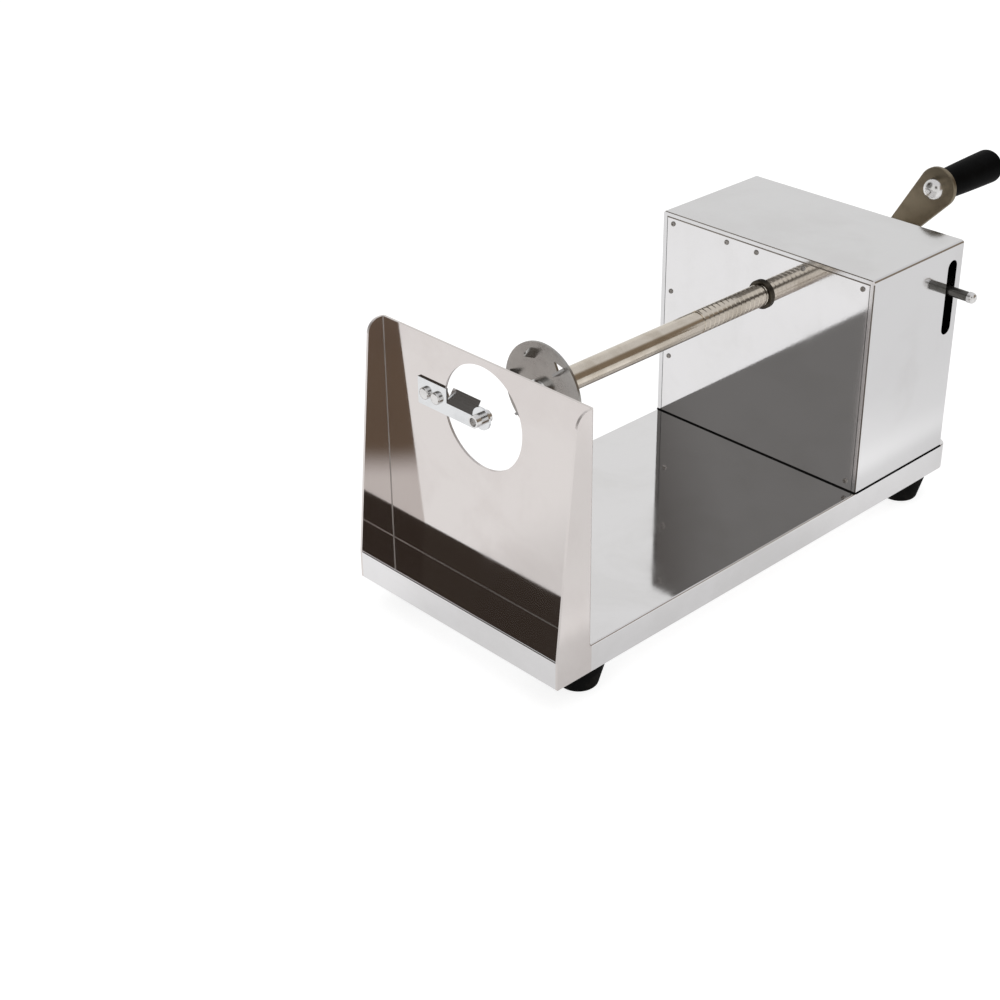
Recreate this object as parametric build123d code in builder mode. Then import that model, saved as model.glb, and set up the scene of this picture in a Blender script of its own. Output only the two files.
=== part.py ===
from build123d import *
from math import cos, pi, radians, sin
import os

# Hand cranked spiral slicer for potatoes.
# A threaded shaft feeds a toothed disc towards a radial knife in the front plate.
# +X is the side with the release lever, -Y the cutting end, +Y the crank, +Z up.
# The origin is on the table, in the middle of the machine's overall footprint.

# ------------------------------------------------------------------ driving sizes, mm
# sheet metal
sheet = 1.5
bend_radius = 2.0
deck_edge_radius = 1.0

# base pan and feet
rear_ledge = 9.0
base_width = 160.0
skirt_height = 17.0
rear_corner_radius = 7.0
foot_drop = 18.0
foot_top_radius = 15.8
foot_bottom_radius = 11.0
foot_core_radius = 10.5
foot_edge_radius = 2.0
foot_inset_side = 16.5
foot_inset_front = 32.5
foot_inset_rear = 24.5
foot_screw_radius = 2.5
foot_screw_head_radius = 4.5
foot_screw_head_height = 3.0
foot_head_recess = 7.0
foot_nut_radius = 4.6
foot_nut_height = 4.0

# blade stand
ledge_depth = 24.0
stand_height = 140.0
gusset_top_width = 10.0
gusset_corner_radius = 8.0
relief_radius = 0.8
cutting_hole_radius = 30.0

# spiral blade and skewer guide
blade_thickness = 1.2
blade_half_width = 8.0
blade_pad_length = 20.0
blade_pad_overlap = 3.0
blade_bend_height = -1.0
blade_edge_height = 7.0
blade_eye_radius = 6.5
guide_outer_radius = 3.5
guide_bore_radius = 2.5
guide_front_reach = 7.0
guide_rear_reach = 4.0
blade_screw_pitch = 9.0
blade_screw_inset = 4.5
blade_screw_radius = 2.0
blade_screw_head_radius = 3.6
blade_screw_head_height = 2.2
blade_nut_radius = 4.0
blade_nut_height = 3.0

# gear box
box_setback = 253.5
box_depth = 87.5
box_height = 138.0
gasket_thickness = 0.6
gasket_width = 12.0
gasket_recess = 1.0
lip_width = 3.0
flange_width = 14.0
panel_gap = 0.4
panel_screw_radius = 1.0
panel_screw_head_radius = 1.6
panel_screw_head_height = 0.9
panel_screw_inset = 8.0
panel_screw_top = 7.0
panel_screw_bottom = 6.0
panel_screw_middle = 29.0
panel_screw_hanger = -6.0
panel_screw_column = 45.0
cover_foot_width = 12.0
cover_screw_radius = 2.0
cover_screw_head_radius = 3.6
cover_screw_head_height = 2.4
cover_screw_inset = 28.0
cover_screw_overrun = 2.0

# feed shaft and its bushes
axis_height = 106.0
shaft_radius = 7.0
disc_setback = 68.0
thread_setback = 193.0
thread_relief_width = 1.6
thread_relief_depth = 0.5
thread_lead = 4.0
forward_turns = 8
running_fit = 0.05
push_fit = 0.02
bush_body_radius = 8.0
front_flange_radius = 9.0
bush_flange_thickness = 2.0
front_bush_length = 16.0
bush_nut_radius = 13.0
bush_nut_thickness = 5.0
rear_flange_radius = 10.5
rear_bush_reach = 2.0
clip_radius = 10.5
clip_thickness = 1.2

# toothed driving disc
disc_radius = 28.5
disc_thickness = 1.5
tooth_count = 6
tooth_circle_radius = 22.0
tooth_phase = 51.0
tooth_width = 6.0
tooth_length = 6.5
hub_head_radius = 8.0
hub_head_thickness = 4.0
hub_stem_radius = 4.0
hub_stem_length = 18.0
skewer_socket_radius = 2.5
skewer_socket_depth = 20.0

# buffer ring and crank
buffer_journal_radius = 6.0
buffer_outer_radius = 11.0
buffer_width = 5.0
side_play = 0.3
stop_gap = 0.5
crank_spigot_radius = 4.5
crank_length = 52.0
crank_angle = 37.0
crank_thickness = 3.0
crank_hub_radius = 7.0
crank_end_radius = 13.0
crank_edge = 0.5
crank_nut_radius = 7.5
crank_nut_height = 6.0
crank_dome_radius = 5.8
crank_dome_height = 4.0
dome_share = 0.9

# grip and its bolt
grip_length = 54.0
grip_front_radius = 9.2
grip_belly_radius = 10.3
grip_belly_place = 30.0
grip_rear_radius = 10.8
grip_front_round = 1.2
grip_end_round = 3.5
grip_bolt_radius = 2.5
grip_head_radius = 6.8
grip_head_height = 8.5
grip_head_round = 6.0
grip_washer_radius = 8.0
grip_washer_thickness = 1.0
grip_recess_radius = 5.2
grip_recess_depth = 5.5
grip_nut_radius = 4.6
grip_nut_height = 4.0

# half-nut release
slot_from_back = 9.5
slot_width = 9.0
slot_length = 48.0
slot_centre_height = 104.0
pivot_inset = 30.0
pivot_radius = 4.0
pivot_eye_radius = 9.0
pivot_head_radius = 6.5
pivot_head_height = 4.5
pivot_nut_radius = 6.5
pivot_nut_height = 4.5
pivot_overrun = 1.0
arm_thickness = 8.0
arm_drop = 24.0
arm_bed = 11.0
arm_bed_half_width = 14.0
arm_shoulder = 30.0
arm_end_half_height = 8.0
arm_inset = 22.0
arm_corner_radius = 2.5
half_nut_length = 14.0
half_nut_half_width = 13.0
half_nut_corner_radius = 3.0
half_nut_screw_offset = 8.5
half_nut_screw_height = 17.5
half_nut_screw_radius = 2.0
half_nut_screw_head_radius = 3.5
half_nut_screw_head_height = 3.5
half_nut_screw_grip = 6.0
lever_radius = 3.0
lever_rise = 2.5
lever_stub_radius = 2.0
lever_stub_length = 12.0
lever_overhang = 13.5
tip_radius = 3.4
tip_length = 4.5
tip_stub_radius = 1.6
tip_stub_length = 3.0
spring_radius = 6.2
spring_wire_radius = 0.8
spring_turns = 5
spring_pitch = 2.1
spring_end_gap = 0.7

# ------------------------------------------------------------------ derived places
half_width = base_width / 2
pivot_offset = half_width - pivot_inset
arm_reach = half_width - arm_inset
base_length = box_setback + box_depth + rear_ledge
slice_thickness = thread_lead
feed_forward = forward_turns * thread_lead
journal_length = buffer_width + 2 * side_play
crank_gap = feed_forward + rear_bush_reach + stop_gap + journal_length - side_play
grip_gap = grip_washer_thickness + side_play
overall_length = box_setback + box_depth + crank_gap + crank_thickness + grip_gap + grip_length
lever_reach = lever_overhang + tip_length

mid_x = -lever_reach / 2
front_y = -overall_length / 2
plate_y = front_y + ledge_depth
plate_back_y = plate_y + sheet
disc_y = front_y + disc_setback
disc_back_y = disc_y + disc_thickness
box_y = front_y + box_setback
box_back_y = box_y + box_depth
arm_y = box_back_y - slot_from_back
crank_y = box_back_y + crank_gap
crank_back_y = crank_y + crank_thickness
grip_y = crank_back_y + grip_gap

skirt_z = foot_drop
deck_z = skirt_z + skirt_height
deck_under_z = deck_z - sheet
axis_z = deck_z + axis_height
lever_z = axis_z + lever_rise
stand_top_z = deck_z + stand_height
cover_z = deck_z + gasket_thickness
box_top_z = deck_z + box_height
cover_height = box_top_z - cover_z

bolt_x = mid_x + crank_length * sin(radians(crank_angle))
bolt_z = axis_z + crank_length * cos(radians(crank_angle))
pivot_x = mid_x - pivot_offset
panel_half_width = half_width - lip_width - panel_gap
panel_screw_side = half_width - panel_screw_inset
panel_height = cover_height - lip_width - panel_gap
screw_clearance = 0.05


def front_view(y, x=mid_x, z=0.0):
    """Plane facing the cutting end: local x is +X, local y is +Z, it extrudes to -Y."""
    return Plane(origin=(x, y, z), x_dir=(1, 0, 0), z_dir=(0, -1, 0))


def lathe(y, x=mid_x, z=axis_z):
    """Plane for profiles turned about a line along Y: local x is +Y, local y the radius."""
    return Plane(origin=(x, y, z), x_dir=(0, 1, 0), z_dir=(1, 0, 0))


def along_y(x=mid_x, z=axis_z):
    return Axis((x, 0, z), (0, 1, 0))


def finish(piece, label):
    """Name one finished piece and write it to its own file."""
    piece.part.label = label
    export_step(piece.part, f"parts/{label}.step")


os.makedirs("parts", exist_ok=True)

# ------------------------------------------------------------------ base pan
# An inverted tray: flat deck, skirts folded down, rear corners rounded.
# Its front corners are notched for the aprons of the blade stand.
with BuildPart() as base_pan:
    with BuildSketch(Plane.XY.offset(skirt_z)):
        with Locations((mid_x, front_y)):
            outside = Rectangle(base_width, base_length, align=(Align.CENTER, Align.MIN))
        fillet(outside.vertices().group_by(Axis.Y)[-1], rear_corner_radius)
    extrude(amount=skirt_height)
    fillet(base_pan.faces().sort_by(Axis.Z)[-1].edges(), deck_edge_radius)
    with BuildSketch(Plane.XY.offset(skirt_z)):
        with Locations((mid_x, front_y + sheet)):
            inside = Rectangle(
                base_width - 2 * sheet, base_length - 2 * sheet, align=(Align.CENTER, Align.MIN)
            )
        fillet(inside.vertices().group_by(Axis.Y)[-1], rear_corner_radius - sheet)
    extrude(amount=skirt_height - sheet, mode=Mode.SUBTRACT)
    with BuildSketch(Plane.XY.offset(skirt_z)):
        with Locations((mid_x - half_width, front_y), (mid_x + half_width, front_y)):
            Rectangle(2 * sheet, 2 * (ledge_depth + sheet))
    extrude(amount=skirt_height, mode=Mode.SUBTRACT)
    with BuildSketch(Plane.XY.offset(deck_under_z)):
        with Locations((mid_x, box_y + box_depth / 2)):
            with GridLocations(
                base_width - gasket_width - 2 * gasket_recess, box_depth - 2 * cover_screw_inset, 2, 2
            ):
                Circle(cover_screw_radius + screw_clearance)
    extrude(amount=sheet, mode=Mode.SUBTRACT)
finish(base_pan, "base_pan")

# ------------------------------------------------------------------ rubber feet
# Tapered buffers: the collar meets the skirt and the core reaches the deck, where a
# screw from below holds it to a hexagon nut.
foot_places = {
    "foot_front_left": (mid_x - half_width + foot_inset_side, front_y + foot_inset_front),
    "foot_front_right": (mid_x + half_width - foot_inset_side, front_y + foot_inset_front),
    "foot_rear_left": (mid_x - half_width + foot_inset_side, front_y + base_length - foot_inset_rear),
    "foot_rear_right": (mid_x + half_width - foot_inset_side, front_y + base_length - foot_inset_rear),
}
for foot_name, foot_place in foot_places.items():
    with BuildPart() as foot:
        with BuildSketch(Plane.XZ.offset(-foot_place[1])):
            with BuildLine():
                Polyline(
                    (foot_place[0], 0),
                    (foot_place[0] + foot_bottom_radius, 0),
                    (foot_place[0] + foot_top_radius, skirt_z),
                    (foot_place[0] + foot_core_radius, skirt_z),
                    (foot_place[0] + foot_core_radius, deck_under_z),
                    (foot_place[0], deck_under_z),
                    close=True,
                )
            make_face()
        revolve(axis=Axis((*foot_place, 0), (0, 0, 1)))
        fillet(foot.edges().filter_by(GeomType.CIRCLE).sort_by(Axis.Z)[0], foot_edge_radius)
        with Locations(Plane(origin=(*foot_place, 0), z_dir=(0, 0, -1))):
            CounterBoreHole(
                foot_screw_radius + screw_clearance,
                foot_screw_head_radius + side_play,
                foot_head_recess,
            )
        with Locations((*foot_place, deck_under_z)):
            Hole(foot_nut_radius + side_play, depth=foot_nut_height + side_play)
    finish(foot, foot_name)

with BuildPart() as foot_screws:
    with BuildSketch(Plane.XY.offset(foot_head_recess)):
        with Locations(*foot_places.values()):
            Circle(foot_screw_radius)
    extrude(amount=deck_under_z - foot_head_recess)
    with BuildSketch(Plane.XY.offset(foot_head_recess)):
        with Locations(*foot_places.values()):
            Circle(foot_screw_head_radius)
    extrude(amount=-foot_screw_head_height)
finish(foot_screws, "foot_screws")

with BuildPart() as foot_nuts:
    with BuildSketch(Plane.XY.offset(deck_under_z)):
        with Locations(*foot_places.values()):
            RegularPolygon(foot_nut_radius, 6)
            Circle(foot_screw_radius + push_fit, mode=Mode.SUBTRACT)
    extrude(amount=-foot_nut_height)
finish(foot_nuts, "foot_nuts")

# ------------------------------------------------------------------ blade stand
# One sheet: the upright plate and, folded forwards, two tapering gussets.
# Below the deck the gussets go on as aprons, flush with the side skirts.
with BuildPart() as blade_stand:
    with BuildSketch(Plane.XY.offset(deck_z)):
        with Locations((mid_x, front_y)):
            channel = Rectangle(base_width, ledge_depth + sheet, align=(Align.CENTER, Align.MIN))
        fillet(channel.vertices().group_by(Axis.Y)[-1], bend_radius)
        with Locations((mid_x, front_y)):
            Rectangle(
                base_width - 2 * sheet, ledge_depth, align=(Align.CENTER, Align.MIN), mode=Mode.SUBTRACT
            )
    extrude(amount=stand_height)
    with BuildSketch(Plane.YZ.offset(mid_x)):
        with BuildLine():
            Polyline(
                (plate_back_y, deck_z),
                (front_y, deck_z),
                (plate_y - gusset_top_width, stand_top_z),
                (plate_back_y, stand_top_z),
                close=True,
            )
        gusset = make_face()
        fillet(gusset.vertices().group_by(Axis.Y)[-1].sort_by(Axis.X)[0], gusset_corner_radius)
    extrude(amount=half_width, both=True, mode=Mode.INTERSECT)
    with BuildSketch(Plane.XY.offset(skirt_z)):
        with Locations((mid_x, front_y)):
            Rectangle(base_width, ledge_depth + sheet, align=(Align.CENTER, Align.MIN))
            Rectangle(
                base_width - 2 * sheet,
                ledge_depth + sheet,
                align=(Align.CENTER, Align.MIN),
                mode=Mode.SUBTRACT,
            )
    extrude(amount=skirt_height)
    with BuildSketch(Plane.YZ.offset(mid_x)):
        with Locations((plate_back_y, deck_z)):
            Circle(relief_radius)
    extrude(amount=half_width, both=True, mode=Mode.SUBTRACT)
    with BuildSketch(front_view(plate_y, z=axis_z)):
        Circle(cutting_hole_radius)
        for place in range(2):
            with Locations((-cutting_hole_radius - blade_screw_inset - place * blade_screw_pitch, 0)):
                Circle(blade_screw_radius + screw_clearance)
    extrude(amount=-sheet, mode=Mode.SUBTRACT)
finish(blade_stand, "blade_stand")

# ------------------------------------------------------------------ spiral blade
# A pad on the plate carries a narrow beam to the middle of the hole.  The lip along
# the beam's top leans in towards the potato by the thickness of one slice and is
# ground to an edge, so each turn of the potato peels off one turn of the spiral.
blade_root = -cutting_hole_radius + blade_pad_overlap
with BuildPart() as spiral_blade:
    with BuildSketch(front_view(plate_y, z=axis_z)):
        with Locations((blade_root, 0)):
            Rectangle(
                blade_pad_length + blade_pad_overlap, 2 * blade_half_width, align=(Align.MAX, Align.CENTER)
            )
        Circle(blade_eye_radius)
    extrude(amount=blade_thickness)
    with BuildSketch(Plane.YZ.offset(mid_x + blade_root)):
        with BuildLine():
            Polyline(
                (plate_y - blade_thickness, axis_z - blade_half_width),
                (plate_y, axis_z - blade_half_width),
                (plate_y, axis_z + blade_bend_height),
                (plate_y + slice_thickness, axis_z + blade_edge_height),
                (plate_y - blade_thickness, axis_z + blade_bend_height / 2),
                close=True,
            )
        make_face()
    extrude(amount=-blade_root - blade_eye_radius + blade_thickness)
    with BuildSketch(front_view(plate_y, z=axis_z)):
        Circle(guide_outer_radius + push_fit)
        for place in range(2):
            with Locations((-cutting_hole_radius - blade_screw_inset - place * blade_screw_pitch, 0)):
                Circle(blade_screw_radius + screw_clearance)
    extrude(amount=blade_thickness, mode=Mode.SUBTRACT)
finish(spiral_blade, "spiral_blade")

# The tube in the blade's eye keeps the wooden skewer in the middle of the cut.
with BuildPart() as skewer_guide:
    with BuildSketch(front_view(plate_y + guide_rear_reach, z=axis_z)):
        Circle(guide_outer_radius)
        Circle(guide_bore_radius, mode=Mode.SUBTRACT)
    extrude(amount=guide_rear_reach + guide_front_reach)
finish(skewer_guide, "skewer_guide")

blade_screw_places = [
    (-cutting_hole_radius - blade_screw_inset - place * blade_screw_pitch, axis_z) for place in range(2)
]
with BuildPart() as blade_screws:
    with BuildSketch(front_view(plate_back_y + blade_nut_height)):
        with Locations(*blade_screw_places):
            Circle(blade_screw_radius)
    extrude(amount=blade_nut_height + sheet + blade_thickness)
    with BuildSketch(front_view(plate_y - blade_thickness)):
        with Locations(*blade_screw_places):
            Circle(blade_screw_head_radius)
    extrude(amount=blade_screw_head_height)
    fillet(blade_screws.faces().sort_by(Axis.Y)[:2].edges(), blade_screw_head_height / 2)
finish(blade_screws, "blade_screws")

with BuildPart() as blade_nuts:
    with BuildSketch(front_view(plate_back_y)):
        with Locations(*blade_screw_places):
            RegularPolygon(blade_nut_radius, 6)
            Circle(blade_screw_radius + push_fit, mode=Mode.SUBTRACT)
    extrude(amount=-blade_nut_height)
finish(blade_nuts, "blade_nuts")

# ------------------------------------------------------------------ gear box cover
# An inverted U.  Each mouth has a narrow lip round a recess that takes the panel,
# and behind the recess a flange that the panel is screwed to.
front_screw_places = [
    (-panel_screw_side, box_top_z - panel_screw_top),
    (-panel_screw_middle, box_top_z - panel_screw_top),
    (panel_screw_hanger, box_top_z - panel_screw_top),
    (panel_screw_middle, box_top_z - panel_screw_top),
    (panel_screw_side, box_top_z - panel_screw_top),
    (-panel_screw_side, box_top_z - panel_screw_top - panel_screw_column),
    (-panel_screw_side, box_top_z - panel_screw_top - 2 * panel_screw_column),
    (panel_screw_side, deck_z + panel_screw_bottom),
]
back_screw_places = [
    (side * panel_screw_side, box_top_z - panel_screw_top - row * panel_screw_column)
    for side in (-1, 1)
    for row in range(3)
]
with BuildPart() as gearbox_cover:
    with BuildSketch(front_view(box_y)):
        with Locations((0, cover_z)):
            wrap = Rectangle(base_width, cover_height, align=(Align.CENTER, Align.MIN))
        fillet(wrap.vertices().group_by(Axis.Y)[-1], bend_radius)
    extrude(amount=-box_depth)
    with BuildSketch(front_view(box_y)):
        with Locations((0, cover_z)):
            Rectangle(
                base_width - 2 * lip_width, cover_height - lip_width, align=(Align.CENTER, Align.MIN)
            )
    extrude(amount=-box_depth, mode=Mode.SUBTRACT)
    with BuildSketch(front_view(box_y + sheet)):
        with Locations((0, cover_z)):
            Rectangle(base_width - 2 * sheet, cover_height - sheet, align=(Align.CENTER, Align.MIN))
    extrude(amount=-(box_depth - 2 * sheet), mode=Mode.SUBTRACT)
    for flange_y in (box_y + sheet, box_back_y - 2 * sheet):
        with BuildSketch(front_view(flange_y)):
            with Locations((0, cover_z)):
                Rectangle(base_width - sheet, cover_height - sheet / 2, align=(Align.CENTER, Align.MIN))
                Rectangle(
                    base_width - 2 * flange_width,
                    cover_height - flange_width,
                    align=(Align.CENTER, Align.MIN),
                    mode=Mode.SUBTRACT,
                )
        extrude(amount=-sheet)
    with BuildSketch(Plane.XY.offset(cover_z)):
        with Locations((mid_x, box_y + box_depth / 2)):
            with Locations((-half_width + sheet / 2, 0)):
                Rectangle(cover_foot_width, box_depth - 2 * sheet, align=(Align.MIN, Align.CENTER))
            with Locations((half_width - sheet / 2, 0)):
                Rectangle(cover_foot_width, box_depth - 2 * sheet, align=(Align.MAX, Align.CENTER))
    extrude(amount=sheet)
    with BuildSketch(Plane.XY.offset(cover_z)):
        with Locations((mid_x, box_y + box_depth / 2)):
            with GridLocations(
                base_width - gasket_width - 2 * gasket_recess, box_depth - 2 * cover_screw_inset, 2, 2
            ):
                Circle(cover_screw_radius + screw_clearance)
    extrude(amount=sheet, mode=Mode.SUBTRACT)
    with BuildSketch(Plane.YZ.offset(mid_x + half_width)):
        with Locations((arm_y, deck_z + slot_centre_height)):
            SlotOverall(slot_length, slot_width, rotation=90)
    extrude(amount=-2 * sheet, mode=Mode.SUBTRACT)
    with BuildSketch(front_view(box_y)):
        with Locations(*front_screw_places):
            Circle(panel_screw_radius + screw_clearance)
    extrude(amount=-3 * sheet, mode=Mode.SUBTRACT)
    with BuildSketch(front_view(box_back_y)):
        with Locations(*back_screw_places):
            Circle(panel_screw_radius + screw_clearance)
    extrude(amount=3 * sheet, mode=Mode.SUBTRACT)
finish(gearbox_cover, "gearbox_cover")

# Black gasket frame that shows as a dark line between the box and the deck.
with BuildPart() as base_gasket:
    with BuildSketch(Plane.XY.offset(deck_z)):
        with Locations((mid_x, box_y + box_depth / 2)):
            Rectangle(base_width - 2 * gasket_recess, box_depth - 2 * gasket_recess)
            Rectangle(
                base_width - 2 * gasket_recess - 2 * gasket_width,
                box_depth - 2 * gasket_recess - 2 * gasket_width,
                mode=Mode.SUBTRACT,
            )
            with GridLocations(
                base_width - gasket_width - 2 * gasket_recess, box_depth - 2 * cover_screw_inset, 2, 2
            ):
                Circle(cover_screw_radius + screw_clearance, mode=Mode.SUBTRACT)
    extrude(amount=gasket_thickness)
finish(base_gasket, "base_gasket")

with BuildPart() as cover_screws:
    with BuildSketch(Plane.XY.offset(deck_under_z)):
        with Locations((mid_x, box_y + box_depth / 2)):
            with GridLocations(
                base_width - gasket_width - 2 * gasket_recess, box_depth - 2 * cover_screw_inset, 2, 2
            ):
                Circle(cover_screw_radius)
    extrude(amount=sheet + gasket_thickness + sheet + cover_screw_overrun)
    with BuildSketch(Plane.XY.offset(deck_under_z)):
        with Locations((mid_x, box_y + box_depth / 2)):
            with GridLocations(
                base_width - gasket_width - 2 * gasket_recess, box_depth - 2 * cover_screw_inset, 2, 2
            ):
                Circle(cover_screw_head_radius)
    extrude(amount=-cover_screw_head_height)
finish(cover_screws, "cover_screws")

# ------------------------------------------------------------------ panels
with BuildPart() as front_panel:
    with BuildSketch(front_view(box_y)):
        with Locations((0, cover_z)):
            Rectangle(2 * panel_half_width, panel_height, align=(Align.CENTER, Align.MIN))
        with Locations((0, axis_z)):
            Circle(bush_body_radius + push_fit, mode=Mode.SUBTRACT)
        with Locations(*front_screw_places):
            Circle(panel_screw_radius + screw_clearance, mode=Mode.SUBTRACT)
    extrude(amount=-sheet)
finish(front_panel, "front_panel")

with BuildPart() as back_panel:
    with BuildSketch(front_view(box_back_y)):
        with Locations((0, cover_z)):
            Rectangle(2 * panel_half_width, panel_height, align=(Align.CENTER, Align.MIN))
        with Locations((0, axis_z)):
            Circle(bush_body_radius + push_fit, mode=Mode.SUBTRACT)
        with Locations((-pivot_offset, axis_z)):
            Circle(pivot_radius + screw_clearance, mode=Mode.SUBTRACT)
        with Locations(*back_screw_places):
            Circle(panel_screw_radius + screw_clearance, mode=Mode.SUBTRACT)
    extrude(amount=sheet)
finish(back_panel, "back_panel")

with BuildPart() as front_panel_screws:
    with BuildSketch(front_view(box_y)):
        with Locations(*front_screw_places):
            Circle(panel_screw_head_radius)
    extrude(amount=panel_screw_head_height)
    fillet(front_panel_screws.edges().group_by(Axis.Y)[0], panel_screw_head_height / 2)
    with BuildSketch(front_view(box_y)):
        with Locations(*front_screw_places):
            Circle(panel_screw_radius)
    extrude(amount=-2 * sheet - panel_screw_head_height)
finish(front_panel_screws, "front_panel_screws")

with BuildPart() as back_panel_screws:
    with BuildSketch(front_view(box_back_y)):
        with Locations(*back_screw_places):
            Circle(panel_screw_head_radius)
    extrude(amount=-panel_screw_head_height)
    fillet(back_panel_screws.edges().group_by(Axis.Y)[-1], panel_screw_head_height / 2)
    with BuildSketch(front_view(box_back_y)):
        with Locations(*back_screw_places):
            Circle(panel_screw_radius)
    extrude(amount=2 * sheet + panel_screw_head_height)
finish(back_panel_screws, "back_panel_screws")

# ------------------------------------------------------------------ shaft bushes
with BuildPart() as front_bush:
    with BuildSketch(front_view(box_y, z=axis_z)):
        Circle(front_flange_radius)
    extrude(amount=bush_flange_thickness)
    with BuildSketch(front_view(box_y, z=axis_z)):
        Circle(bush_body_radius)
    extrude(amount=-(front_bush_length - bush_flange_thickness))
    chamfer(front_bush.edges().group_by(Axis.Y)[0], running_fit * 10)
    with BuildSketch(front_view(box_y - bush_flange_thickness, z=axis_z)):
        Circle(shaft_radius + running_fit)
    extrude(amount=-front_bush_length, mode=Mode.SUBTRACT)
finish(front_bush, "front_bush")

with BuildPart() as front_bush_nut:
    with BuildSketch(front_view(box_y + sheet, z=axis_z)):
        RegularPolygon(bush_nut_radius, 6)
        Circle(bush_body_radius + push_fit, mode=Mode.SUBTRACT)
    extrude(amount=-bush_nut_thickness)
finish(front_bush_nut, "front_bush_nut")

with BuildPart() as rear_bush:
    with BuildSketch(front_view(box_back_y - sheet, z=axis_z)):
        Circle(rear_flange_radius)
    extrude(amount=bush_flange_thickness)
    with BuildSketch(front_view(box_back_y - sheet, z=axis_z)):
        Circle(bush_body_radius)
    extrude(amount=-(sheet + rear_bush_reach))
    with BuildSketch(front_view(box_back_y - sheet - bush_flange_thickness, z=axis_z)):
        Circle(shaft_radius + running_fit)
    extrude(amount=-(bush_flange_thickness + sheet + rear_bush_reach), mode=Mode.SUBTRACT)
finish(rear_bush, "rear_bush")

with BuildPart() as rear_bush_clip:
    with BuildSketch(front_view(box_back_y, z=axis_z)):
        Circle(clip_radius)
        Circle(bush_body_radius + push_fit, mode=Mode.SUBTRACT)
        Rectangle(bush_body_radius, clip_radius, align=(Align.CENTER, Align.MAX), mode=Mode.SUBTRACT)
    extrude(amount=-clip_thickness)
finish(rear_bush_clip, "rear_bush_clip")

# ------------------------------------------------------------------ feed shaft
# Smooth in front, threaded from the relief groove back to the crank's journal.
journal_y = crank_y - journal_length
with BuildPart() as feed_shaft:
    with BuildSketch(front_view(disc_back_y, z=axis_z)):
        Circle(shaft_radius)
    extrude(amount=-(journal_y - disc_back_y))
    with BuildSketch(front_view(journal_y, z=axis_z)):
        Circle(buffer_journal_radius)
    extrude(amount=-journal_length)
    with BuildSketch(front_view(crank_y, z=axis_z)):
        Circle(crank_spigot_radius)
    extrude(amount=-(crank_thickness + crank_nut_height))
    with BuildSketch(front_view(front_y + thread_setback, z=axis_z)):
        Circle(shaft_radius)
        Circle(shaft_radius - thread_relief_depth, mode=Mode.SUBTRACT)
    extrude(amount=-thread_relief_width, mode=Mode.SUBTRACT)
    with BuildSketch(front_view(disc_back_y, z=axis_z)):
        Circle(hub_stem_radius + push_fit)
    extrude(amount=-(hub_stem_length + side_play), mode=Mode.SUBTRACT)
finish(feed_shaft, "feed_shaft")

# ------------------------------------------------------------------ driving disc
# Triangular teeth are cut free on two sides and folded out of the disc to the front.
with BuildPart() as fork_disc:
    with BuildSketch(front_view(disc_y, z=axis_z)):
        Circle(disc_radius)
        Circle(hub_stem_radius + push_fit, mode=Mode.SUBTRACT)
        with PolarLocations(tooth_circle_radius, tooth_count, start_angle=tooth_phase):
            Polygon(
                (-tooth_width / 2, 0), (tooth_width / 2, 0), (0, tooth_length),
                align=None, mode=Mode.SUBTRACT,
            )
    extrude(amount=-disc_thickness)
    for tooth in range(tooth_count):
        angle = radians(tooth_phase) + tooth * 2 * pi / tooth_count
        fold = Plane(
            origin=(
                mid_x + tooth_circle_radius * cos(angle),
                disc_back_y,
                axis_z + tooth_circle_radius * sin(angle),
            ),
            x_dir=(cos(angle), 0, sin(angle)),
            z_dir=(sin(angle), 0, -cos(angle)),
        )
        with BuildSketch(fold):
            with BuildLine():
                Polyline(
                    (-tooth_width / 2, 0),
                    (tooth_width / 2, 0),
                    (tooth_width / 2, disc_thickness),
                    (0, disc_thickness + tooth_length),
                    (-tooth_width / 2, disc_thickness),
                    close=True,
                )
            make_face()
        extrude(amount=disc_thickness)
finish(fork_disc, "fork_disc")

# The hub screw clamps the disc to the shaft and takes the blunt end of the skewer.
with BuildPart() as fork_hub:
    with BuildSketch(front_view(disc_y, z=axis_z)):
        Circle(hub_head_radius)
    extrude(amount=hub_head_thickness)
    chamfer(fork_hub.edges().group_by(Axis.Y)[0], hub_head_thickness / 4)
    with BuildSketch(front_view(disc_y, z=axis_z)):
        Circle(hub_stem_radius)
    extrude(amount=-(disc_thickness + hub_stem_length))
    with BuildSketch(front_view(disc_y - hub_head_thickness, z=axis_z)):
        Circle(skewer_socket_radius)
    extrude(amount=-skewer_socket_depth, mode=Mode.SUBTRACT)
finish(fork_hub, "fork_hub")

# ------------------------------------------------------------------ buffer ring
# Rubber ring that runs loose on the journal and meets the rear bush at full feed.
with BuildPart() as buffer_ring:
    with BuildSketch(front_view(crank_y - side_play, z=axis_z)):
        Circle(buffer_outer_radius)
        Circle(buffer_journal_radius + 2 * running_fit, mode=Mode.SUBTRACT)
    extrude(amount=buffer_width)
    fillet(buffer_ring.edges().filter_by(GeomType.CIRCLE).group_by(SortBy.RADIUS)[-1], buffer_width / 4)
finish(buffer_ring, "buffer_ring")

# ------------------------------------------------------------------ crank
bolt_place = (bolt_x - mid_x, bolt_z - axis_z)
with BuildPart() as crank_arm:
    with BuildSketch(front_view(crank_y, z=axis_z)):
        Circle(crank_hub_radius)
        with Locations(bolt_place):
            Circle(crank_end_radius)
        make_hull()
    extrude(amount=-crank_thickness)
    chamfer(crank_arm.faces().filter_by(Axis.Y).edges(), crank_edge)
    with BuildSketch(front_view(crank_y, z=axis_z)):
        Circle(crank_spigot_radius + push_fit)
        with Locations(bolt_place):
            Circle(grip_bolt_radius + push_fit)
    extrude(amount=-crank_thickness, mode=Mode.SUBTRACT)
finish(crank_arm, "crank_arm")

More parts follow.
